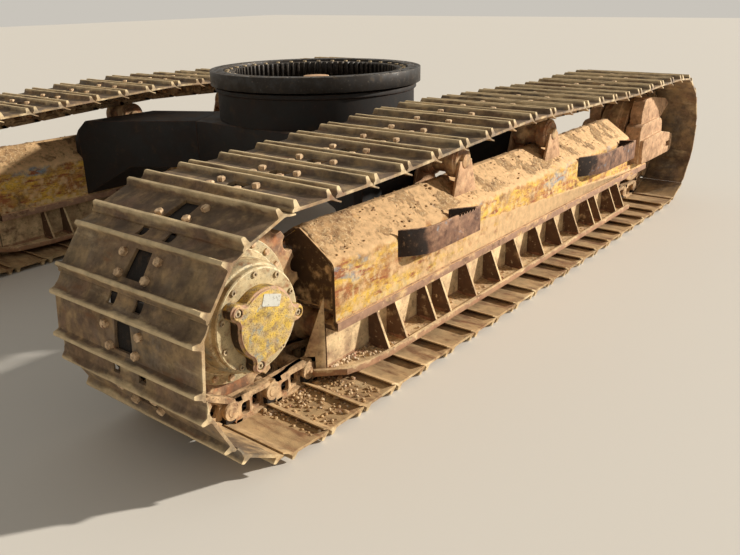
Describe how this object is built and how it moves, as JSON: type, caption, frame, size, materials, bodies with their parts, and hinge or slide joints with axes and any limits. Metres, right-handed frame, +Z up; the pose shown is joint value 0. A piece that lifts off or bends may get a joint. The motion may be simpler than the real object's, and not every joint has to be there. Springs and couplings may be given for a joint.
{
  "type": "crawler excavator undercarriage",
  "caption": "Crawler excavator undercarriage: two tracks with double-grouser shoes, sprockets, idlers and rollers on welded frames, joined by a car body with a slewing ring",
  "frame": {"origin": "slewing axis at ground level, the middle of the tracks' length and width", "axes": "+X towards the idlers (front), +Y to the left track, +Z up along the slewing axis"},
  "size_m": [4.8478, 3.352, 1.073],
  "materials": {
    "track_steel": "worn bare steel with rust and dried dirt",
    "worn_iron": "rusty cast steel, polished where it runs",
    "dusty_iron": "cast steel under dry sandy dirt",
    "yellow_paint": "worn yellow paint over grey primer and rust",
    "dark_paint": "dull dark paint with dust",
    "rusty_plate": "plate with brown rust and rests of paint",
    "race_steel": "machined steel, greasy and dull"
  },
  "bodies": {
    "undercarriage": {"right_track": "track_steel", "right_sprocket": "worn_iron", "right_final_drive": "dusty_iron", "right_drive_cover": "yellow_paint", "right_travel_motor": "dark_paint", "right_track_frame": "yellow_paint", "right_roller_guard": "rusty_plate", "right_bottom_rollers": "worn_iron", "right_carrier_brackets": "dusty_iron", "right_carrier_rollers": "worn_iron", "right_idler": "worn_iron", "right_idler_blocks": "dusty_iron", "right_recoil_yoke": "worn_iron", "right_rear_step": "rusty_plate", "right_front_step": "rusty_plate", "left_track": "track_steel", "left_sprocket": "worn_iron", "left_final_drive": "dusty_iron", "left_drive_cover": "yellow_paint", "left_travel_motor": "dark_paint", "left_track_frame": "yellow_paint", "left_roller_guard": "rusty_plate", "left_bottom_rollers": "worn_iron", "left_carrier_brackets": "dusty_iron", "left_carrier_rollers": "worn_iron", "left_idler": "worn_iron", "left_idler_blocks": "dusty_iron", "left_recoil_yoke": "worn_iron", "left_rear_step": "rusty_plate", "left_front_step": "rusty_plate", "car_body": "dark_paint", "car_body_floor": "dark_paint", "car_body_legs": "dark_paint", "slew_pedestal": "dark_paint", "slew_inner_race": "race_steel", "oil_swivel": "dusty_iron"},
    "slewing_ring": {"slew_outer_race": "race_steel"}
  },
  "joints": [
    {"name": "slewing", "type": "hinge", "parent": "undercarriage", "child": "slewing_ring", "pos_m": [0, 0, 1], "axis": [0, 0, 1], "continuous": true}
  ]
}
